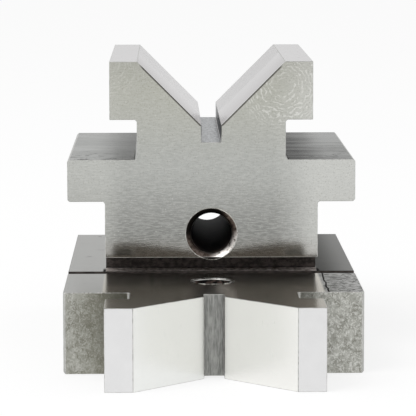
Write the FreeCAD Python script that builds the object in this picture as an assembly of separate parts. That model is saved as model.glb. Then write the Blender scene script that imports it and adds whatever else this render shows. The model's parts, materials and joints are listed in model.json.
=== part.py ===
import FreeCAD, Part
import math
import os

os.makedirs("parts", exist_ok=True)

# Right-angle V block, machined from one piece of steel: an upright with a 90 degree
# V along its top, standing on a base that runs forward as a leg with a second,
# upright V in its front end. Flanges on both sides take clamp jaws.
#
# Millimetres. X runs across the block, +Y away from the leg, +Z up.
# The origin is the middle of the rectangle the block covers, on its bottom face.

# ---- overall -------------------------------------------------------------------
overall_width = 60.0          # across the clamp flanges and the base
base_thickness = 16.4         # bottom face to the ground top of the base
upright_rise = 44.2           # top of the base to the top of the shoulders
upright_depth = 61.0          # front face to back face of the upright
leg_reach = 46.0              # front face of the upright to the front end of the leg

# ---- upright, sizes down from its top --------------------------------------------
shoulder_width = 42.3         # over both shoulders beside the V
shoulder_height = 12.1        # top to the underside of a shoulder
upper_notch_height = 8.3      # clamp notch between shoulder and flange
upper_neck_width = 31.0       # web left between the two upper notches
flange_height = 8.8           # thickness of the middle flange
lower_neck_width = 44.4       # web between the flange and the base

# ---- leg, sizes back from its front end -------------------------------------------
leg_shoulder_width = 42.8     # over both shoulders beside the front V
leg_shoulder_length = 11.5    # front end to the back of a shoulder
leg_notch_length = 7.9        # clamp notch between shoulder and wing
leg_neck_width = 33.4         # web left between the two front notches

# ---- V grooves --------------------------------------------------------------------
v_angle = 90.0                # degrees between the two walls of a V
top_v_mouth = 30.7            # width of the top V where it opens
top_slot_width = 4.1          # relief slot at the foot of the top V
top_slot_depth = 16.8         # top of the shoulders to the floor of the slot
front_v_mouth = 31.7          # width of the front V where it opens
front_slot_width = 4.0        # relief slot at the foot of the front V
front_slot_depth = 17.0       # front end of the leg to the floor of the slot

# ---- screw holes ------------------------------------------------------------------
tapping_diameter = 8.5        # wall of both holes, tapping size of an M10 thread
countersink_diameter = 10.8   # 90 degree countersink in front of the upright's hole
leg_countersink_diameter = 9.0  # 90 degree countersink at both ends of the leg's hole
upright_hole_height = 8.25    # hole axis above the top of the base
rear_opening_diameter = 9.6   # clearance at the far end of the upright's hole
rear_opening_length = 5.0     # how far that clearance reaches in
leg_hole_setback = 11.6       # hole axis in front of the upright's face

# ---- reliefs at the inside corner ------------------------------------------------
foot_relief_height = 3.25     # undercut at the foot of the upright
foot_relief_depth = 8.0       # how far it goes in behind the face
cross_groove_width = 3.2      # shallow groove over the full width
cross_groove_depth = 0.45     # its floor below the top of the base
cross_groove_lead = 0.9       # how far it starts in front of the upright's face

# ---- edges ------------------------------------------------------------------------
notch_radius = 0.6            # cutter radius in the inner corners of the notches
edge_break = 0.4              # chamfer on the outer edges of wings, flanges and base

# ---- placement --------------------------------------------------------------------
half_width = overall_width / 2.0
total_depth = upright_depth + leg_reach
y_front = -total_depth / 2.0
y_face = y_front + leg_reach
y_back = y_face + upright_depth
z_base = base_thickness
z_top = base_thickness + upright_rise
z_shoulder = z_top - shoulder_height
z_flange_top = z_shoulder - upper_notch_height
z_flange_foot = z_flange_top - flange_height
y_shoulder = y_front + leg_shoulder_length
y_wing = y_shoulder + leg_notch_length
v_half_tangent = math.tan(math.radians(v_angle / 2.0))
OVERLAP = 1.0                 # overshoot of cutting solids past the stock
ALONG_Y = (0, 1, 0)
ALONG_Z = (0, 0, 1)


def mirrored(half):
    """Close a right-hand outline by adding its mirror image about X = 0."""
    return half + [(-u, v) for u, v in reversed(half)]


def prism_along_y(outline, y_start, length):
    """Extrude an (x, z) outline along +Y."""
    points = [FreeCAD.Vector(x, y_start, z) for x, z in outline]
    wire = Part.makePolygon(points + [points[0]])
    return Part.Face(wire).extrude(FreeCAD.Vector(0, length, 0))


def prism_along_z(outline, z_start, length):
    """Extrude an (x, y) outline along +Z."""
    points = [FreeCAD.Vector(x, y, z_start) for x, y in outline]
    wire = Part.makePolygon(points + [points[0]])
    return Part.Face(wire).extrude(FreeCAD.Vector(0, 0, length))


def box(x_half, y_low, y_high, z_low, z_high):
    """A box centred on X = 0."""
    corner = FreeCAD.Vector(-x_half, y_low, z_low)
    return Part.makeBox(2.0 * x_half, y_high - y_low, z_high - z_low, corner)


def countersink(point, direction, diameter):
    """A 90 degree cone that opens towards direction, its mouth at point."""
    outer = diameter / 2.0
    axis = FreeCAD.Vector(*direction)
    start = FreeCAD.Vector(*point) + axis.multiply(OVERLAP)
    back = FreeCAD.Vector(*direction).negative()
    return Part.makeCone(outer + OVERLAP, 0.0, outer + OVERLAP, start, back)


def edges_along(shape, direction, test):
    """The straight edges that run along direction and whose ends both pass test."""
    found = []
    for edge in shape.Edges:
        ends = [vertex.Point for vertex in edge.Vertexes]
        if len(ends) != 2:
            continue
        span = ends[1].sub(ends[0])
        parallel = span.cross(FreeCAD.Vector(*direction)).Length < 1e-3
        if parallel and all(test(point) for point in ends):
            found.append(edge)
    return found


def near(value, target):
    """True when two lengths agree to a micrometre."""
    return abs(value - target) < 1e-3


# Upright and the base under it: one profile run through the whole depth.
top_v_foot = z_top - (top_v_mouth - top_slot_width) / 2.0 / v_half_tangent
upright_half = [
    (half_width, 0.0),
    (half_width, z_base),
    (lower_neck_width / 2.0, z_base),
    (lower_neck_width / 2.0, z_flange_foot),
    (half_width, z_flange_foot),
    (half_width, z_flange_top),
    (upper_neck_width / 2.0, z_flange_top),
    (upper_neck_width / 2.0, z_shoulder),
    (shoulder_width / 2.0, z_shoulder),
    (shoulder_width / 2.0, z_top),
    (top_v_mouth / 2.0, z_top),
    (top_slot_width / 2.0, top_v_foot),
    (top_slot_width / 2.0, z_top - top_slot_depth),
]
upright = prism_along_y(mirrored(upright_half), y_face, upright_depth)

# Leg: the same kind of profile seen from above, run through the base's thickness.
front_v_foot = y_front + (front_v_mouth - front_slot_width) / 2.0 / v_half_tangent
leg_half = [
    (half_width, y_face + OVERLAP),
    (half_width, y_wing),
    (leg_neck_width / 2.0, y_wing),
    (leg_neck_width / 2.0, y_shoulder),
    (leg_shoulder_width / 2.0, y_shoulder),
    (leg_shoulder_width / 2.0, y_front),
    (front_v_mouth / 2.0, y_front),
    (front_slot_width / 2.0, front_v_foot),
    (front_slot_width / 2.0, y_front + front_slot_depth),
]
leg = prism_along_z(mirrored(leg_half), 0.0, base_thickness)

body = upright.fuse(leg).removeSplitter()

# Cutter radius in the inner corners of the notches.
inner_corners = edges_along(
    body,
    ALONG_Y,
    lambda p: near(abs(p.x), upper_neck_width / 2.0),
)
inner_corners += edges_along(
    body,
    ALONG_Y,
    lambda p: near(abs(p.x), lower_neck_width / 2.0) and near(p.z, z_flange_foot),
)
inner_corners += edges_along(
    body,
    ALONG_Z,
    lambda p: near(abs(p.x), leg_neck_width / 2.0) and p.y < y_face,
)
body = body.makeFillet(notch_radius, inner_corners)

# Broken outer edges: the long edges of the flanges, the foot of the base and the
# upright corners of its wings.
outer_edges = edges_along(
    body,
    ALONG_Y,
    lambda p: near(abs(p.x), half_width) and not near(p.z, z_base),
)
outer_edges += edges_along(
    body,
    ALONG_Z,
    lambda p: near(abs(p.x), half_width) and near(p.y, y_wing),
)
body = body.makeChamfer(edge_break, outer_edges)

# Undercut at the foot of the upright and the shallow groove across the base top.
body = body.cut(
    box(
        lower_neck_width / 2.0 + OVERLAP,
        y_face - OVERLAP,
        y_face + foot_relief_depth,
        z_base,
        z_base + foot_relief_height,
    )
)
groove_start = y_face - cross_groove_lead
body = body.cut(
    box(
        half_width + OVERLAP,
        groove_start,
        groove_start + cross_groove_width,
        z_base - cross_groove_depth,
        z_base + OVERLAP,
    )
)

# Screw hole along Y through the upright, opened up at its far end.
z_hole = z_base + upright_hole_height
bore_radius = tapping_diameter / 2.0
body = body.cut(
    Part.makeCylinder(
        bore_radius,
        upright_depth + 2.0 * OVERLAP,
        FreeCAD.Vector(0, y_face - OVERLAP, z_hole),
        FreeCAD.Vector(*ALONG_Y),
    )
)
body = body.cut(
    Part.makeCylinder(
        rear_opening_diameter / 2.0,
        rear_opening_length + OVERLAP,
        FreeCAD.Vector(0, y_back - rear_opening_length, z_hole),
        FreeCAD.Vector(*ALONG_Y),
    )
)
body = body.cut(countersink((0, y_face, z_hole), (0, -1, 0), countersink_diameter))

# Screw hole down through the leg.
y_hole = y_face - leg_hole_setback
body = body.cut(
    Part.makeCylinder(
        bore_radius,
        base_thickness + 2.0 * OVERLAP,
        FreeCAD.Vector(0, y_hole, -OVERLAP),
        FreeCAD.Vector(*ALONG_Z),
    )
)
body = body.cut(countersink((0, y_hole, z_base), (0, 0, 1), leg_countersink_diameter))
body = body.cut(countersink((0, y_hole, 0.0), (0, 0, -1), leg_countersink_diameter))

body = body.removeSplitter()
if len(body.Solids) != 1:
    raise RuntimeError("the block must be one solid")
v_block = body.Solids[0]
v_block.exportStep("parts/v_block.step")
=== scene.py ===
import json
import math
import random

import bmesh
import bpy
from mathutils import Matrix, Vector

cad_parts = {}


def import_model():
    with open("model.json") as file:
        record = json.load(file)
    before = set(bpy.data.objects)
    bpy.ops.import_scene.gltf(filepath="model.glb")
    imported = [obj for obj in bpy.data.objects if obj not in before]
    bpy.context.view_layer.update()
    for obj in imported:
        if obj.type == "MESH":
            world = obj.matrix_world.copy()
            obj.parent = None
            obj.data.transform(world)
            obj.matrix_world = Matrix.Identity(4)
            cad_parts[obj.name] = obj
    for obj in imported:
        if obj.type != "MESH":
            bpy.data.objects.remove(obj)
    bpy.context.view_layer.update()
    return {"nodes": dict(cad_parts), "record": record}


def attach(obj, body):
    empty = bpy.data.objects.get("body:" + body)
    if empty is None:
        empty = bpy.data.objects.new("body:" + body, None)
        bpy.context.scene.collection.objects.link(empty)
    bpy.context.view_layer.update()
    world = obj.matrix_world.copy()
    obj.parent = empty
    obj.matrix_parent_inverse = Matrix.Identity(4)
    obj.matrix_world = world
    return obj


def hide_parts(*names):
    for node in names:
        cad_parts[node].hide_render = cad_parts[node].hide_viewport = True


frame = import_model()

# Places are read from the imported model, in metres. The finishes work in millimetres.
MOUNTS = {mount["name"]: mount for mount in frame["record"]["mounts"]}
MM = 0.001
EDGE_ROUND = 0.10 * MM
EDGE_ANGLE = 30  # degrees between two faces that share a rounded edge
SMALLEST_FLAT = 20 * MM * MM


# ---- node helpers ----------------------------------------------------------------
class Shade:
    """A small builder for one material's node tree, working in millimetres."""

    def __init__(self, name):
        self.material = bpy.data.materials.new(name)
        self.material.use_nodes = True
        self.tree = self.material.node_tree
        self.tree.nodes.clear()
        self.out = self.tree.nodes.new("ShaderNodeOutputMaterial")
        self.shader = self.tree.nodes.new("ShaderNodeBsdfPrincipled")
        self.link(self.shader.outputs["BSDF"], self.out.inputs["Surface"])
        coords = self.tree.nodes.new("ShaderNodeTexCoord")
        self.point = self.vector_math("SCALE", coords.outputs["Object"], scale=1.0 / MM)
        self.x, self.y, self.z = self.split(self.point)

    def link(self, source, target):
        self.tree.links.new(source, target)

    def put(self, socket, value):
        """Link a socket, or write a plain value into it."""
        if isinstance(value, bpy.types.NodeSocket):
            self.link(value, socket)
        elif isinstance(value, tuple) and len(value) == 3 and socket.type == "RGBA":
            socket.default_value = (*value, 1.0)
        else:
            socket.default_value = value

    def split(self, vector):
        node = self.tree.nodes.new("ShaderNodeSeparateXYZ")
        self.link(vector, node.inputs[0])
        return node.outputs[0], node.outputs[1], node.outputs[2]

    def vector_math(self, operation, a, b=None, scale=None):
        node = self.tree.nodes.new("ShaderNodeVectorMath")
        node.operation = operation
        self.put(node.inputs[0], a)
        if b is not None:
            self.put(node.inputs[1], b)
        if scale is not None:
            node.inputs["Scale"].default_value = scale
        return node.outputs[0]

    def math(self, operation, a, b=None):
        node = self.tree.nodes.new("ShaderNodeMath")
        node.operation = operation
        self.put(node.inputs[0], a)
        if b is not None:
            self.put(node.inputs[1], b)
        return node.outputs[0]

    def times(self, a, b):
        return self.math("MULTIPLY", a, b)

    def plus(self, a, b):
        return self.math("ADD", a, b)

    def minus(self, a, b):
        return self.math("SUBTRACT", a, b)

    def absolute(self, value):
        return self.math("ABSOLUTE", value)

    def band(self, value, low, high, invert=False):
        """0 at low, 1 at high, smooth between them."""
        node = self.tree.nodes.new("ShaderNodeMapRange")
        node.interpolation_type = "SMOOTHSTEP"
        self.put(node.inputs["Value"], value)
        node.inputs["From Min"].default_value = low
        node.inputs["From Max"].default_value = high
        node.inputs["To Min"].default_value = 1.0 if invert else 0.0
        node.inputs["To Max"].default_value = 0.0 if invert else 1.0
        return node.outputs["Result"]

    def level(self, value, low, high):
        """Map 0..1 to low..high."""
        node = self.tree.nodes.new("ShaderNodeMapRange")
        self.put(node.inputs["Value"], value)
        node.inputs["To Min"].default_value = low
        node.inputs["To Max"].default_value = high
        return node.outputs["Result"]

    def noise(self, scale, stretch=(1, 1, 1), detail=4.0, rough=0.55, distort=0.0, seed=0.0):
        """Noise whose grains are about 1 / scale millimetres, stretched by axis."""
        node = self.tree.nodes.new("ShaderNodeTexNoise")
        node.noise_dimensions = "4D"
        node.inputs["W"].default_value = seed
        node.inputs["Scale"].default_value = scale
        node.inputs["Detail"].default_value = detail
        node.inputs["Roughness"].default_value = rough
        node.inputs["Distortion"].default_value = distort
        squeeze = tuple(1.0 / part for part in stretch)
        self.link(self.vector_math("MULTIPLY", self.point, squeeze), node.inputs["Vector"])
        return node.outputs[0]

    def mix(self, factor, a, b):
        """Colour a where factor is 0, colour b where it is 1."""
        node = self.tree.nodes.new("ShaderNodeMix")
        node.data_type = "RGBA"
        node.clamp_factor = True
        self.put(node.inputs["Factor"], factor)
        self.put(node.inputs[6], a)
        self.put(node.inputs[7], b)
        return node.outputs[2]

    def bump(self, height, strength, distance):
        """A normal tilted by height, whose full rise is distance in millimetres."""
        node = self.tree.nodes.new("ShaderNodeBump")
        node.inputs["Strength"].default_value = strength
        node.inputs["Distance"].default_value = distance * MM
        self.put(node.inputs["Height"], height)
        return node.outputs[0]

    def finish(self, color, roughness, normal=None, metallic=1.0, tint=None):
        """Close the material; tint is what the metal reflects at a grazing angle."""
        self.put(self.shader.inputs["Base Color"], color)
        if tint is not None:
            self.put(self.shader.inputs["Specular Tint"], tint)
        self.put(self.shader.inputs["Roughness"], roughness)
        self.put(self.shader.inputs["Metallic"], metallic)
        if normal is not None:
            self.link(normal, self.shader.inputs["Normal"])
        return self.material


# ---- faces of the block -----------------------------------------------------------
def flat_levels(mesh, axis, sign):
    """Where the block's flat faces that look along one axis lie, from low to high."""
    area = {}
    for polygon in mesh.polygons:
        if polygon.normal[axis] * sign > 0.999:
            level = round(polygon.center[axis], 5)
            area[level] = area.get(level, 0.0) + polygon.area
    return sorted(level for level in area if area[level] > SMALLEST_FLAT)


CAD_MESH = frame["nodes"]["v_block"].data
GROOVE_FLOOR, BASE_TOP, FLANGE_TOP, SLOT_FLOOR, SHOULDER_TOP = flat_levels(CAD_MESH, 2, 1)
(
    LEG_END,
    LEG_SLOT_FLOOR,
    WING_FRONT,
    UPRIGHT_FACE,
    GROOVE_WALL,
    UNDERCUT_BACK,
) = flat_levels(CAD_MESH, 1, -1)
UPRIGHT_HOLE = Vector(MOUNTS["upright_screw_hole"]["pos_m"])
LEG_HOLE = Vector(MOUNTS["leg_screw_hole"]["pos_m"])
BORE_RADIUS = MOUNTS["upright_screw_hole"]["dims"]["r_mm"] * MM
SLOT_HALF = 2.2 * MM
UNDERCUT_HALF = 22.3 * MM
UNDERCUT_TOP = 3.6 * MM + BASE_TOP
V_DEPTH = 13.3  # shoulder tops to the foot of the top V


def close(a, b):
    """Whether two places along an axis are the same face."""
    return abs(a - b) < 0.06 * MM


def material_of(center, normal):
    """Which finish a face of the block has, from where it lies and where it looks."""
    x, y, z = center
    from_upright_hole = math.hypot(x, z - UPRIGHT_HOLE.z)
    from_leg_hole = math.hypot(x, y - LEG_HOLE.y)
    if y > UPRIGHT_FACE and from_upright_hole < 1.25 * BORE_RADIUS and abs(normal.y) < 0.9:
        return "countersink" if abs(normal.y) > 0.3 else "bore"
    if y < UPRIGHT_FACE and from_leg_hole < 1.25 * BORE_RADIUS and abs(normal.z) < 0.9:
        return "leg_countersink" if abs(normal.z) > 0.3 else "bore"
    if abs(x) < UNDERCUT_HALF and UPRIGHT_FACE < y < UNDERCUT_BACK + 0.1 * MM:
        if BASE_TOP - 0.1 * MM < z < UNDERCUT_TOP:
            return "undercut"
    if GROOVE_FLOOR - 0.1 * MM < z < BASE_TOP - 0.1 * MM:
        if UPRIGHT_FACE - 1.2 * MM < y < GROOVE_WALL + 0.1 * MM and abs(normal.x) < 0.5:
            return "undercut"
    if normal.z > 0.99:
        if close(z, SHOULDER_TOP):
            return "top_v"
        if close(z, FLANGE_TOP):
            return "flange_top"
        if close(z, SLOT_FLOOR):
            return "top_slot"
        if close(z, BASE_TOP):
            return "base_top"
    if normal.y < -0.99:
        if close(y, LEG_END):
            return "leg_end"
        if close(y, LEG_SLOT_FLOOR):
            return "leg_slot"
        if close(y, WING_FRONT):
            return "wing_front"
        if close(y, UPRIGHT_FACE):
            return "upright_face"
    if normal.z > 0.5 and abs(normal.x) > 0.5 and z > SLOT_FLOOR and abs(x) < 16 * MM:
        return "top_v"
    if normal.y < -0.5 and abs(normal.x) > 0.5 and y < LEG_SLOT_FLOOR and abs(x) < 17 * MM:
        return "leg_v"
    if abs(normal.x) > 0.99 and abs(x) < SLOT_HALF:
        return "top_slot" if z > SLOT_FLOOR else "leg_slot"
    return "ground_side"


# ---- finishes --------------------------------------------------------------------
# Colours are linear. Positions in the shaders are millimetres in the block's own frame.
FACE_Y = UPRIGHT_FACE / MM
V_FOOT_Z = SHOULDER_TOP / MM - V_DEPTH
V_FOOT_X = 2.05
GREY = (0.50, 0.505, 0.485)
DARK = (0.10, 0.095, 0.085)
# near black, for the scribed line and for painted shade in the undercut
MARK_AND_SHADE_BLACK = (0.020, 0.017, 0.015)


def ground_side():
    """Surface-ground steel: long fine lines along the block, a few faint stains."""
    s = Shade("ground_side")
    lines = s.noise(3.2, stretch=(1, 40, 1), detail=6, rough=0.65, seed=1.0)
    cloud = s.noise(0.06, detail=3, seed=2.0)
    speck = s.noise(5.0, detail=2, rough=0.7, seed=3.0)
    color = s.mix(cloud, (0.40, 0.405, 0.385), GREY)
    color = s.mix(s.level(s.band(lines, 0.35, 0.65), 0.0, 0.35), color, (0.62, 0.62, 0.60))
    color = s.mix(s.level(s.band(speck, 0.62, 0.75), 0.0, 0.3), color, (0.22, 0.22, 0.20))
    rough = s.level(lines, 0.22, 0.38)
    return s.finish(color, rough, s.bump(lines, 0.25, 0.03))


def cutter_arcs(s, center_x, center_z, reach, seed):
    """Broken arcs left by a cutter that turned about one point of the upright's face."""
    off_x = s.minus(s.x, center_x)
    off_z = s.minus(s.z, center_z)
    span = s.math("SQRT", s.plus(s.math("POWER", off_x, 2.0), s.math("POWER", off_z, 2.0)))
    wobble = s.times(s.noise(0.35, detail=3, seed=seed), 4.0)
    rings = s.math("SINE", s.times(s.plus(span, wobble), 7.5))
    broken = s.band(s.noise(0.8, detail=4, rough=0.6, seed=seed + 0.5), 0.42, 0.55)
    inside = s.times(s.band(span, 1.0, 2.5), s.band(span, 0.55 * reach, reach, invert=True))
    return s.times(s.times(s.band(rings, 0.0, 0.9), inside), broken)


def upright_face():
    """The front of the upright: satin, with cross grain, speckle, cutter arcs, painted reflection and a
    painted shadow line.
    """
    s = Shade("upright_face")
    grain = s.noise(4.5, stretch=(6, 1, 1), detail=5, rough=0.6, seed=4.0)
    speck = s.noise(2.8, detail=4, rough=0.75, seed=5.0)
    cloud = s.noise(0.09, detail=3, seed=6.0)
    beside = s.absolute(s.x)
    # painted reflection: darker towards the foot, where the dark leg top is mirrored, and lighter towards
    # the top
    color = s.mix(s.band(s.z, 22.0, 40.0), (0.185, 0.188, 0.177), (0.43, 0.44, 0.42))
    color = s.mix(s.band(s.z, 38.0, 56.0), color, (0.51, 0.515, 0.455))
    color = s.mix(s.level(cloud, 0.0, 0.25), color, (0.42, 0.42, 0.40))
    # painted reflection: the outer bands lighter, mirroring the pale surround; the right side is lighter
    # as well
    color = s.mix(s.level(s.band(beside, 17.5, 23.0), 0.0, 0.35), color, (0.62, 0.625, 0.59))
    color = s.mix(s.level(s.band(s.x, 12.0, 21.0), 0.0, 0.40), color, (0.72, 0.725, 0.70))
    color = s.mix(s.level(s.band(grain, 0.40, 0.62), 0.0, 0.22), color, (0.74, 0.745, 0.71))
    color = s.mix(s.level(s.band(speck, 0.36, 0.47, invert=True), 0.0, 0.45), color, (0.24, 0.235, 0.20))
    color = s.mix(s.level(s.band(speck, 0.60, 0.68), 0.0, 0.6), color, (0.80, 0.80, 0.76))
    faint = s.times(cutter_arcs(s, -21.5, 60.0, 9.0, 7.2), 0.4)
    arcs = s.plus(cutter_arcs(s, 15.0, 55.5, 11.0, 7.0), faint)
    color = s.mix(s.level(arcs, 0.0, 0.38), color, (0.95, 0.95, 0.92))
    # painted reflection: the foot of the face darker and browner, mirroring the dark base top
    foot = s.band(s.z, BASE_TOP / MM + 3.0, BASE_TOP / MM + 8.5, invert=True)
    color = s.mix(s.level(foot, 0.0, 0.35), color, (0.30, 0.265, 0.24))
    # painted shadow: a dark line along the V's edges on the face
    from_v = s.minus(beside, s.plus(s.minus(s.z, V_FOOT_Z), V_FOOT_X))
    line = s.times(s.band(from_v, 0.35, 0.55, invert=True), s.band(s.z, V_FOOT_Z - 0.2, V_FOOT_Z))
    line = s.times(line, s.band(beside, 14.2, 15.0, invert=True))
    color = s.mix(s.level(line, 0.0, 0.85), color, DARK)
    shine = s.band(s.z, BASE_TOP / MM + 6.0, BASE_TOP / MM + 16.0)
    rough = s.plus(s.level(grain, 0.05, 0.09), s.times(shine, 0.09))
    height = s.plus(s.plus(grain, s.times(speck, 0.8)), s.times(arcs, 0.5))
    return s.finish(color, rough, s.bump(height, 0.12, 0.03))


def top_v():
    """Finely ground V walls and shoulder tops, pale with a faint lilac cast."""
    s = Shade("top_v")
    lines = s.noise(7.0, stretch=(1, 30, 1), detail=4, seed=8.0)
    cloud = s.noise(0.12, detail=3, seed=9.0)
    nick = s.noise(1.2, stretch=(1, 3, 1), detail=4, rough=0.7, seed=9.5)
    color = s.mix(cloud, (0.605, 0.590, 0.592), (0.665, 0.650, 0.652))
    color = s.mix(s.level(s.band(lines, 0.4, 0.7), 0.0, 0.12), color, (0.80, 0.785, 0.79))
    worn = s.times(s.band(nick, 0.60, 0.66), s.band(s.x, 17.0, 20.0))
    color = s.mix(s.level(worn, 0.0, 0.6), color, (0.25, 0.25, 0.25))
    # painted highlight: a lighter strip along the front edge of the shoulder tops
    rim = s.band(s.y, FACE_Y + 1.0, FACE_Y + 1.8, invert=True)
    rim = s.times(rim, s.band(s.z, SHOULDER_TOP / MM - 0.5, SHOULDER_TOP / MM - 0.2, invert=True))
    color = s.mix(rim, color, (0.82, 0.82, 0.80))
    return s.finish(color, s.level(lines, 0.14, 0.24), s.bump(lines, 0.12, 0.02))


def top_slot():
    """The relief slot under the V: sawn, a little blue, with painted shade down its right wall."""
    s = Shade("top_slot")
    streak = s.noise(1.6, stretch=(1, 5, 1), detail=6, rough=0.7, seed=10.0)
    color = s.mix(s.band(streak, 0.32, 0.66), (0.20, 0.21, 0.215), (0.52, 0.535, 0.55))
    # painted shade down the slot's right wall
    wall = s.band(s.x, 1.75, 1.95)
    color = s.mix(s.level(wall, 0.0, 0.9), color, (0.05, 0.05, 0.05))
    return s.finish(color, 0.34, s.bump(streak, 0.5, 0.05))


def flange_top():
    """Milled flange tops: smooth outside, painted shade towards the web, stained on the right and marked
    dark towards the front edge.
    """
    s = Shade("flange_top")
    cloud = s.noise(0.16, stretch=(3, 1, 1), detail=4, distort=0.6, seed=11.0)
    drag = s.noise(0.5, stretch=(8, 1.5, 1), detail=5, rough=0.65, seed=11.5)
    nick = s.noise(1.0, stretch=(2.5, 1.8, 1), detail=4, rough=0.7, seed=12.0)
    beside = s.absolute(s.x)
    inner = s.band(beside, 15.5, 26.0, invert=True)
    right = s.band(s.x, 10.0, 12.0)
    front = s.band(s.y, FACE_Y + 1.5, FACE_Y + 26.0, invert=True)
    color = s.mix(s.band(cloud, 0.35, 0.65), (0.60, 0.605, 0.595), (0.67, 0.675, 0.665))
    # painted shade: darker towards the web, under the overhang of the shoulders
    color = s.mix(s.level(inner, 0.0, 0.50), color, (0.17, 0.17, 0.165))
    # painted shade mixed with real stain: the right flange top darker still towards the web, broken by
    # drag marks
    stain_and_shade = s.times(right, s.level(inner, 0.35, 1.0))
    stain_and_shade = s.times(stain_and_shade, s.level(s.band(drag, 0.36, 0.6, invert=True), 0.35, 1.0))
    color = s.mix(s.level(stain_and_shade, 0.0, 0.85), color, (0.075, 0.075, 0.072))
    # painted reflection: lighter again at the right flange's outer back corner
    corner = s.times(s.band(beside, 22.0, 27.0), s.band(s.y, 20.0, 40.0))
    color = s.mix(s.level(s.times(corner, right), 0.0, 0.6), color, (0.62, 0.625, 0.62))
    marks = s.times(front, s.band(nick, 0.36, 0.47, invert=True))
    color = s.mix(s.level(marks, 0.0, 0.85), color, (0.05, 0.05, 0.045))
    return s.finish(color, s.level(nick, 0.14, 0.30), s.bump(nick, 0.2, 0.04), tint=color)


def base_top():
    """Ground base and leg top: shiny at a low angle, with worn and scored wings, and painted shade in the
    undercut and on the right wing.
    """
    s = Shade("base_top")
    cloud = s.noise(0.14, detail=4, distort=0.5, seed=14.0)
    nick = s.noise(1.0, stretch=(2.2, 1.4, 1), detail=4, rough=0.7, seed=14.5)
    beside = s.absolute(s.x)
    right = s.band(s.x, 21.9, 22.5)
    left = s.band(s.x, -22.5, -21.9, invert=True)
    wing = s.plus(left, right)
    front = s.band(s.y, FACE_Y - 1.2, FACE_Y - 0.6, invert=True)
    color = s.mix(cloud, (0.78, 0.76, 0.72), (0.88, 0.86, 0.82))
    color = s.mix(wing, color, s.mix(cloud, (0.62, 0.62, 0.61), (0.68, 0.68, 0.67)))
    scratch = s.times(s.band(nick, 0.33, 0.38, invert=True), wing)
    near_web = s.band(beside, 22.5, 29.0, invert=True)
    scratch = s.times(scratch, s.level(near_web, 0.2, 1.0))
    color = s.mix(s.level(scratch, 0.0, 0.75), color, (0.07, 0.065, 0.06))
    # painted shade: the right wing darker behind the groove, most near the upright
    right_wing_shade = s.times(right, s.minus(1.0, front))
    shade_falloff = s.level(s.band(s.x, 22.0, 30.0), 0.95, 0.45)
    color = s.mix(s.times(right_wing_shade, shade_falloff), color, (0.21, 0.21, 0.205))
    # painted shade: near black over the undercut's floor and along the foot of the upright
    undercut_shade = s.times(s.band(beside, 22.5, 22.9, invert=True), s.band(s.y, FACE_Y - 0.9, FACE_Y - 0.5))
    undercut_shade = s.times(undercut_shade, s.band(s.y, FACE_Y + 4.0, FACE_Y + 8.0, invert=True))
    color = s.mix(s.level(undercut_shade, 0.0, 0.9), color, MARK_AND_SHADE_BLACK)
    # in front of the groove the right wing has wavy milling and a scribed line
    ripple = s.noise(0.75, stretch=(1.9, 1, 1), detail=3, distort=2.4, seed=15.0)
    worn = s.times(right, front)
    ripple_dark = s.band(ripple, 0.40, 0.52, invert=True)
    color = s.mix(s.times(worn, s.level(ripple_dark, 0.0, 0.75)), color, (0.10, 0.10, 0.095))
    sway = s.times(s.minus(s.noise(0.25, detail=2, seed=15.5), 0.5), 0.9)
    along = s.plus(s.minus(s.x, 22.9), sway)
    scribe = s.times(s.band(s.absolute(along), 0.10, 0.22, invert=True), front)
    color = s.mix(s.level(scribe, 0.0, 0.9), color, MARK_AND_SHADE_BLACK)
    rough = s.plus(s.level(cloud, 0.17, 0.24), s.times(wing, -0.04))
    rough = s.plus(rough, s.times(right, 0.08))
    height = s.minus(s.times(ripple, worn), scribe)
    # dirt and grit on the floor of the undercut
    dirty = s.times(s.band(beside, 22.1, 22.2, invert=True), s.band(s.y, FACE_Y + 2.2, FACE_Y + 2.3))
    grit = s.noise(1.3, stretch=(1.4, 1, 1), detail=5, rough=0.75, seed=24.0)
    dirt = s.mix(s.band(grit, 0.40, 0.60), (0.20, 0.165, 0.15), (0.75, 0.68, 0.64))
    dirt = s.mix(s.band(grit, 0.59, 0.64), dirt, (0.98, 0.96, 0.94))
    color = s.mix(dirty, color, dirt)
    rough = s.plus(rough, s.times(dirty, 0.5))
    height = s.plus(height, s.times(grit, dirty))
    metal = s.minus(1.0, dirty)
    return s.finish(color, rough, s.bump(height, 0.5, 0.08), metallic=metal, tint=color)


def leg_end():
    """Finely ground front of the leg: near white with a blue cast."""
    s = Shade("leg_end")
    cloud = s.noise(0.3, detail=4, seed=16.0)
    fine = s.noise(6.0, stretch=(1, 1, 12), detail=3, seed=17.0)
    color = s.mix(cloud, (0.755, 0.755, 0.757), (0.84, 0.84, 0.843))
    color = s.mix(s.level(s.band(fine, 0.55, 0.65), 0.0, 0.2), color, (0.90, 0.90, 0.90))
    return s.finish(color, s.level(fine, 0.20, 0.28), s.bump(fine, 0.1, 0.02))


def leg_v():
    """Walls of the front V: near white, a little warm, with painted light on the right wall."""
    s = Shade("leg_v")
    cloud = s.noise(0.25, detail=4, seed=18.0)
    fine = s.noise(6.0, stretch=(1, 1, 12), detail=3, seed=19.0)
    right = s.band(s.x, -2.0, 2.0)
    color = s.mix(cloud, (0.875, 0.885, 0.865), (0.905, 0.915, 0.895))
    # painted light: the right wall lighter and a little warmer than the left
    color = s.mix(s.level(right, 0.0, 0.7), color, (0.945, 0.935, 0.90))
    return s.finish(color, s.level(fine, 0.22, 0.30), s.bump(fine, 0.08, 0.02))


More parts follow.
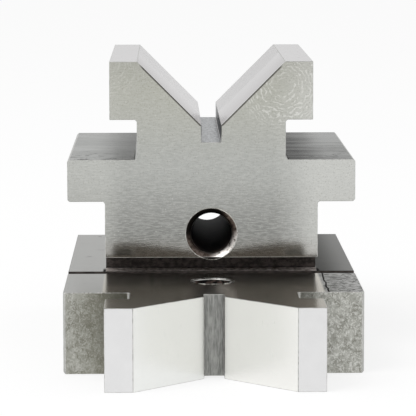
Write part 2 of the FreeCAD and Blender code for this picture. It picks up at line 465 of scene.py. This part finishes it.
def leg_slot():
    """Relief slot of the front V: sawn, grain running up and down, with painted shade on its right wall.
    """
    s = Shade("leg_slot")
    streak = s.noise(3.2, stretch=(1, 1, 8), detail=5, rough=0.65, seed=20.0)
    color = s.mix(s.band(streak, 0.3, 0.7), (0.20, 0.205, 0.195), (0.42, 0.425, 0.405))
    # painted shade on the slot's right wall
    wall = s.band(s.x, 1.7, 1.9)
    color = s.mix(s.level(wall, 0.0, 0.85), color, (0.06, 0.05, 0.045))
    return s.finish(color, 0.38, s.bump(streak, 0.5, 0.05))


def wing_front():
    """Rough-milled wing ends: mottled, a little green, with curled cutter marks and painted shade on the
    left end next to the leg.
    """
    s = Shade("wing_front")
    mottle = s.noise(0.45, detail=6, rough=0.72, seed=21.0)
    curl = s.noise(1.1, detail=3, distort=2.6, seed=22.0)
    fine = s.noise(3.0, stretch=(1, 1, 2.5), detail=5, rough=0.75, seed=23.0)
    left = s.band(s.x, -24.0, 24.0, invert=True)
    near_leg = s.band(s.absolute(s.x), 20.0, 29.0, invert=True)
    color = s.mix(s.band(mottle, 0.34, 0.66), (0.30, 0.30, 0.265), (0.58, 0.585, 0.545))
    color = s.mix(s.level(s.band(curl, 0.50, 0.58), 0.0, 0.6), color, (0.80, 0.805, 0.77))
    color = s.mix(s.level(s.band(fine, 0.36, 0.48, invert=True), 0.0, 0.6), color, (0.16, 0.155, 0.12))
    # painted shade: the left wing's end darker next to the leg; the whole left end is a little darker as
    # well
    color = s.mix(s.level(s.times(left, near_leg), 0.0, 0.6), color, (0.19, 0.185, 0.14))
    color = s.mix(s.level(left, 0.0, 0.28), color, (0.20, 0.195, 0.14))
    height = s.plus(mottle, s.plus(curl, fine))
    return s.finish(color, 0.36, s.bump(height, 0.6, 0.06))


def undercut():
    """Inside the relief: near-black painted shade, with grit."""
    s = Shade("undercut")
    grit = s.noise(1.3, stretch=(1.4, 1, 1), detail=5, rough=0.75, seed=24.0)
    color = s.mix(s.band(grit, 0.40, 0.60), (0.035, 0.028, 0.024), (0.11, 0.09, 0.08))
    return s.finish(color, 0.7, s.bump(grit, 0.6, 0.1), metallic=0.0)


def bore():
    """Bore wall: near-black painted shade and old oil."""
    s = Shade("bore")
    rust = s.noise(0.8, detail=4, rough=0.65, seed=25.0)
    color = s.mix(s.band(rust, 0.4, 0.7), (0.004, 0.004, 0.004), (0.020, 0.014, 0.012))
    s.shader.inputs["Specular IOR Level"].default_value = 0.15
    mouth = s.times(s.band(s.y, FACE_Y, FACE_Y + 7.0, invert=True), s.band(rust, 0.45, 0.6))
    low = s.band(s.z, UPRIGHT_HOLE.z / MM - 2.5, UPRIGHT_HOLE.z / MM, invert=True)
    color = s.mix(s.level(s.times(mouth, low), 0.0, 0.8), color, (0.14, 0.10, 0.085))
    return s.finish(color, 0.75, s.bump(rust, 0.5, 0.1), metallic=0.0)


def countersink():
    """Countersink of the upright's hole: brown, with a painted highlight in patches on its lower right
    and painted shade on its upper left.
    """
    s = Shade("countersink")
    rust = s.noise(1.3, detail=5, rough=0.7, seed=26.0)
    color = s.mix(s.band(rust, 0.35, 0.65), (0.045, 0.033, 0.028), (0.22, 0.175, 0.15))
    rise = s.minus(s.z, UPRIGHT_HOLE.z / MM)
    side = s.minus(s.x, rise)
    # painted highlight on the lower right, in patches
    bright = s.times(s.band(side, 3.8, 6.6), s.band(rust, 0.36, 0.5))
    color = s.mix(bright, color, (0.80, 0.76, 0.72))
    # painted shade on the upper left
    dark = s.band(s.minus(rise, s.times(s.x, 0.6)), 1.2, 3.4)
    color = s.mix(dark, color, (0.012, 0.010, 0.009))
    return s.finish(color, 0.32, s.bump(rust, 0.6, 0.1))


def leg_countersink():
    """Countersink of the leg's hole: dark, with torn bright flecks."""
    s = Shade("leg_countersink")
    torn = s.noise(1.5, detail=5, rough=0.75, seed=27.0)
    color = s.mix(s.band(torn, 0.46, 0.60), (0.04, 0.035, 0.03), (0.62, 0.60, 0.57))
    return s.finish(color, 0.3, s.bump(torn, 0.7, 0.1))


def edge():
    """Rounded edges: rubbed bright in patches, with painted shade along the V and inside the corner."""
    s = Shade("edge")
    patch = s.noise(0.8, detail=5, rough=0.7, seed=28.0)
    color = s.mix(s.band(patch, 0.35, 0.6), (0.34, 0.34, 0.32), (0.62, 0.62, 0.60))
    # painted shade along the V's front edges and in the corner at the foot of the upright
    beside_face = s.band(s.y, FACE_Y + 0.3, FACE_Y + 0.5, invert=True)
    in_v = s.band(s.z, SLOT_FLOOR / MM + 1.0, SLOT_FLOOR / MM + 2.0)
    deep = s.band(s.absolute(s.x), 14.2, 15.0, invert=True)
    dark = s.times(s.times(beside_face, in_v), deep)
    corner = s.times(s.band(s.y, FACE_Y - 1.3, FACE_Y - 1.1), s.band(s.z, 19.2, 19.4, invert=True))
    dark = s.plus(dark, corner)
    color = s.mix(dark, color, (0.03, 0.026, 0.024))
    return s.finish(color, 0.3, s.bump(patch, 0.3, 0.05))


def burr():
    """Torn metal lips: bare and bright."""
    s = Shade("burr")
    torn = s.noise(3.0, detail=3, rough=0.7, seed=29.0)
    color = s.mix(s.band(torn, 0.35, 0.6), (0.30, 0.28, 0.26), (0.90, 0.89, 0.87))
    return s.finish(color, 0.28, s.bump(torn, 0.5, 0.05))


FINISHES = [
    ground_side,
    upright_face,
    top_v,
    top_slot,
    flange_top,
    base_top,
    leg_end,
    leg_v,
    leg_slot,
    wing_front,
    undercut,
    bore,
    countersink,
    leg_countersink,
    edge,
]
FINISH_NAMES = [finish.__name__ for finish in FINISHES]


# ---- mesh ------------------------------------------------------------------------
def joined_faces(source):
    """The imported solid's mesh with each flat face in one piece."""
    work = bmesh.new()
    work.from_mesh(source.data)
    bmesh.ops.remove_doubles(work, verts=work.verts[:], dist=1e-6)
    bmesh.ops.dissolve_limit(
        work,
        angle_limit=math.radians(0.6),
        use_dissolve_boundaries=False,
        verts=work.verts[:],
        edges=work.edges[:],
    )
    work.normal_update()
    for face in work.faces:
        name = material_of(face.calc_center_median(), face.normal)
        face.material_index = FINISH_NAMES.index(name)
    mesh = bpy.data.meshes.new("block_surface")
    work.to_mesh(mesh)
    work.free()
    return mesh


def round_edges(piece):
    """Round every edge of the block; the rounded strips get the edge finish."""
    bevel = piece.modifiers.new("round", "BEVEL")
    bevel.width = EDGE_ROUND
    bevel.segments = 2
    bevel.limit_method = "ANGLE"
    bevel.angle_limit = math.radians(EDGE_ANGLE)
    bevel.use_clamp_overlap = True
    bevel.material = FINISH_NAMES.index("edge")
    bpy.context.view_layer.update()
    graph = bpy.context.evaluated_depsgraph_get()
    mesh = bpy.data.meshes.new_from_object(piece.evaluated_get(graph))
    piece.modifiers.clear()
    piece.data = mesh


def dressed_block():
    """The visible block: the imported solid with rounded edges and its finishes."""
    piece = bpy.data.objects.new("dressed_block", joined_faces(frame["nodes"]["v_block"]))
    bpy.context.scene.collection.objects.link(piece)
    for finish in FINISHES:
        piece.data.materials.append(finish())
    round_edges(piece)
    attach(piece, "root")
    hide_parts("v_block")
    return piece


# ---- burrs -----------------------------------------------------------------------
COUNTERSINK_REACH = 1.15 * MM  # how far the upright's countersink is wider than its bore
HOLE_LIP = 0.10 * MM
LEG_LIP = 0.13 * MM
WING_LIP = 0.09 * MM
HOLE_LIP_ARCS = ((196, 262), (258, 300), (296, 342), (120, 150), (352, 380))
WING_LIPS_FROM = 17.2
WING_LIPS_TO = 29.8


def add_lip(work, path, thickness, dice):
    """A ragged lip along a path: a closed tube of four sides that tapers to both ends."""
    rings = []
    last = len(path) - 1
    for index, point in enumerate(path):
        ahead = path[min(index + 1, last)] - path[max(index - 1, 0)]
        side = ahead.cross(Vector((0.3, 0.5, 0.8))).normalized()
        over = ahead.cross(side).normalized()
        taper = 0.15 + 0.85 * math.sin(math.pi * index / last)
        width = thickness * taper * dice.uniform(0.45, 1.0)
        ring = [work.verts.new(point + offset * width) for offset in (side, over, -side, -over)]
        rings.append(ring)
    for near, far in zip(rings, rings[1:]):
        for corner in range(4):
            after = (corner + 1) % 4
            work.faces.new((near[corner], near[after], far[after], far[corner]))
    work.faces.new(reversed(rings[0]))
    work.faces.new(rings[-1])


def arc_points(center, across, up, radius, start, end):
    """Points about every 0.3 mm along an arc, angles in degrees from across towards up."""
    count = max(4, int(abs(math.radians(end - start)) * radius / (0.3 * MM)))
    points = []
    for index in range(count + 1):
        angle = math.radians(start + (end - start) * index / count)
        points.append(center + across * radius * math.cos(angle) + up * radius * math.sin(angle))
    return points


def line_points(start, end):
    """Points about every 0.4 mm from start to end."""
    count = max(4, int((end - start).length / (0.4 * MM)))
    return [start.lerp(end, index / count) for index in range(count + 1)]


def burrs():
    """Ragged lips round the screw holes and along the front edges of the wings."""
    dice = random.Random(7)
    work = bmesh.new()
    right, back, up = Vector((1, 0, 0)), Vector((0, 1, 0)), Vector((0, 0, 1))
    rim_radius = BORE_RADIUS + COUNTERSINK_REACH
    rim = Vector((0, UPRIGHT_FACE - 0.02 * MM, UPRIGHT_HOLE.z))
    for start, end in HOLE_LIP_ARCS:
        lip_radius = rim_radius + dice.uniform(-0.05, 0.08) * MM
        add_lip(work, arc_points(rim, right, up, lip_radius, start, end), HOLE_LIP, dice)
    mouth = Vector((0, LEG_HOLE.y, BASE_TOP + 0.03 * MM))
    angle = 0.0
    while angle < 350:
        sweep = dice.uniform(18, 55)
        lip_radius = BORE_RADIUS + dice.uniform(-0.1, 0.35) * MM
        add_lip(work, arc_points(mouth, right, back, lip_radius, angle, angle + sweep), LEG_LIP, dice)
        angle += sweep + dice.uniform(-6, 12)
    for side in (-1, 1):
        place = WING_LIPS_FROM
        while place < 29.0:
            reach = min(place + dice.uniform(1.2, 3.6), WING_LIPS_TO)
            start = Vector((side * place * MM, WING_FRONT, BASE_TOP - 0.02 * MM))
            end = Vector((side * reach * MM, WING_FRONT, BASE_TOP - 0.02 * MM))
            add_lip(work, line_points(start, end), WING_LIP, dice)
            place = reach + dice.uniform(-0.1, 0.5)
    bmesh.ops.recalc_face_normals(work, faces=work.faces[:])
    mesh = bpy.data.meshes.new("burrs")
    work.to_mesh(mesh)
    work.free()
    mesh.materials.append(burr())
    piece = bpy.data.objects.new("burrs", mesh)
    bpy.context.scene.collection.objects.link(piece)
    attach(piece, "root")
    return piece


# ---- stage -----------------------------------------------------------------------
FLOOR_HALF = 3.0
FLOOR_PAINT = 0.30
FLOOR_GLOW = 0.76
SKY_ON_BLOCK = 0.8
SKY_SEEN = 1.0
EYE = (-9.142, -534.94, 94.72)  # millimetres
YAW, PITCH, ROLL = 0.916, 6.989, -0.07  # degrees, right, down and about the line of sight
SENSOR, LENS = 36.0, 220.64
CARD_HALF, CARD_Y, CARD_LOW, CARD_HIGH = 0.45, -0.75, 0.035, 0.32
CARD_COLOR = (0.50, 0.46, 0.42, 1.0)


def seen_directly(tree):
    """1 for camera, glossy and transmission rays, 0 for the rest."""
    path = tree.nodes.new("ShaderNodeLightPath")
    either = tree.nodes.new("ShaderNodeMath")
    either.operation = "MAXIMUM"
    tree.links.new(path.outputs["Is Camera Ray"], either.inputs[0])
    tree.links.new(path.outputs["Is Glossy Ray"], either.inputs[1])
    all_three = tree.nodes.new("ShaderNodeMath")
    all_three.operation = "MAXIMUM"
    tree.links.new(either.outputs[0], all_three.inputs[0])
    tree.links.new(path.outputs["Is Transmission Ray"], all_three.inputs[1])
    return all_three.outputs[0]


def floor_material():
    """A pale floor that shows white and still takes the block's shadow."""
    material = bpy.data.materials.new("floor")
    material.use_nodes = True
    tree = material.node_tree
    tree.nodes.clear()
    out = tree.nodes.new("ShaderNodeOutputMaterial")
    paint = tree.nodes.new("ShaderNodeBsdfDiffuse")
    paint.inputs["Color"].default_value = (FLOOR_PAINT, FLOOR_PAINT, FLOOR_PAINT, 1.0)
    glow = tree.nodes.new("ShaderNodeEmission")
    lift = tree.nodes.new("ShaderNodeMath")
    lift.operation = "MULTIPLY"
    tree.links.new(seen_directly(tree), lift.inputs[0])
    lift.inputs[1].default_value = FLOOR_GLOW
    tree.links.new(lift.outputs[0], glow.inputs["Strength"])
    both = tree.nodes.new("ShaderNodeAddShader")
    tree.links.new(paint.outputs[0], both.inputs[0])
    tree.links.new(glow.outputs[0], both.inputs[1])
    tree.links.new(both.outputs[0], out.inputs["Surface"])
    return material


def sheet(name, corners):
    """A stage piece of one four-sided face."""
    mesh = bpy.data.meshes.new(name)
    mesh.from_pydata(corners, [], [(0, 1, 2, 3)])
    piece = bpy.data.objects.new(name, mesh)
    bpy.context.scene.collection.objects.link(piece)
    return piece, mesh


def floor():
    """A plain pale floor under the block."""
    side = FLOOR_HALF
    plane, mesh = sheet("floor", [(-side, -side, 0), (side, -side, 0), (side, side, 0), (-side, side, 0)])
    mesh.materials.append(floor_material())
    return plane


def camera():
    """A long lens in front of the block, a little above it."""
    eye = Vector(EYE) * MM
    yaw, pitch, roll = (math.radians(angle) for angle in (YAW, PITCH, ROLL))
    level = math.cos(pitch)
    forward = Vector((math.sin(yaw) * level, math.cos(yaw) * level, -math.sin(pitch)))
    right = Vector((math.cos(yaw), -math.sin(yaw), 0.0))
    up = right.cross(forward)
    turned_right = right * math.cos(roll) + up * math.sin(roll)
    turned_up = up * math.cos(roll) - right * math.sin(roll)
    rows = Matrix((turned_right, turned_up, -forward)).transposed().to_4x4()
    data = bpy.data.cameras.new("camera")
    data.sensor_width = SENSOR
    data.lens = LENS
    data.clip_start = 0.05
    view = bpy.data.objects.new("camera", data)
    view.matrix_world = Matrix.Translation(eye) @ rows
    bpy.context.scene.collection.objects.link(view)
    bpy.context.scene.camera = view
    return view


def area_light(name, place, target, size, watts):
    """A soft rectangular lamp that looks at target."""
    data = bpy.data.lights.new(name, "AREA")
    data.shape = "RECTANGLE"
    data.size, data.size_y = size
    data.energy = watts
    lamp = bpy.data.objects.new(name, data)
    lamp.location = place
    lamp.rotation_euler = (Vector(target) - Vector(place)).to_track_quat("-Z", "Y").to_euler()
    bpy.context.scene.collection.objects.link(lamp)
    return lamp


def world():
    """Even light on the block; a white surround where it is seen."""
    sky = bpy.data.worlds.new("studio")
    sky.use_nodes = True
    tree = sky.node_tree
    tree.nodes.clear()
    out = tree.nodes.new("ShaderNodeOutputWorld")
    lit = tree.nodes.new("ShaderNodeBackground")
    lit.inputs["Strength"].default_value = SKY_ON_BLOCK
    seen = tree.nodes.new("ShaderNodeBackground")
    seen.inputs["Strength"].default_value = SKY_SEEN
    choose = tree.nodes.new("ShaderNodeMixShader")
    tree.links.new(seen_directly(tree), choose.inputs[0])
    tree.links.new(lit.outputs[0], choose.inputs[1])
    tree.links.new(seen.outputs[0], choose.inputs[2])
    tree.links.new(choose.outputs[0], out.inputs["Surface"])
    bpy.context.scene.world = sky


def dark_card():
    """A dim card behind the camera, seen only in the steel, as in a studio."""
    low = [(-CARD_HALF, CARD_Y, CARD_LOW), (CARD_HALF, CARD_Y, CARD_LOW)]
    high = [(CARD_HALF, CARD_Y, CARD_HIGH), (-CARD_HALF, CARD_Y, CARD_HIGH)]
    card, mesh = sheet("dark_card", low + high)
    material = bpy.data.materials.new("dark_card")
    material.use_nodes = True
    paint = material.node_tree.nodes["Principled BSDF"]
    paint.inputs["Base Color"].default_value = CARD_COLOR
    paint.inputs["Roughness"].default_value = 1.0
    mesh.materials.append(material)
    card.visible_camera = False
    card.visible_diffuse = False
    card.visible_shadow = False
    return card


dressed_block()
burrs()
floor()
camera()
world()
dark_card()
area_light("key", (-0.5, -0.4, 0.9), (0, 0, 0.03), (0.6, 0.6), 3.0)
bpy.context.scene.view_settings.view_transform = "Standard"
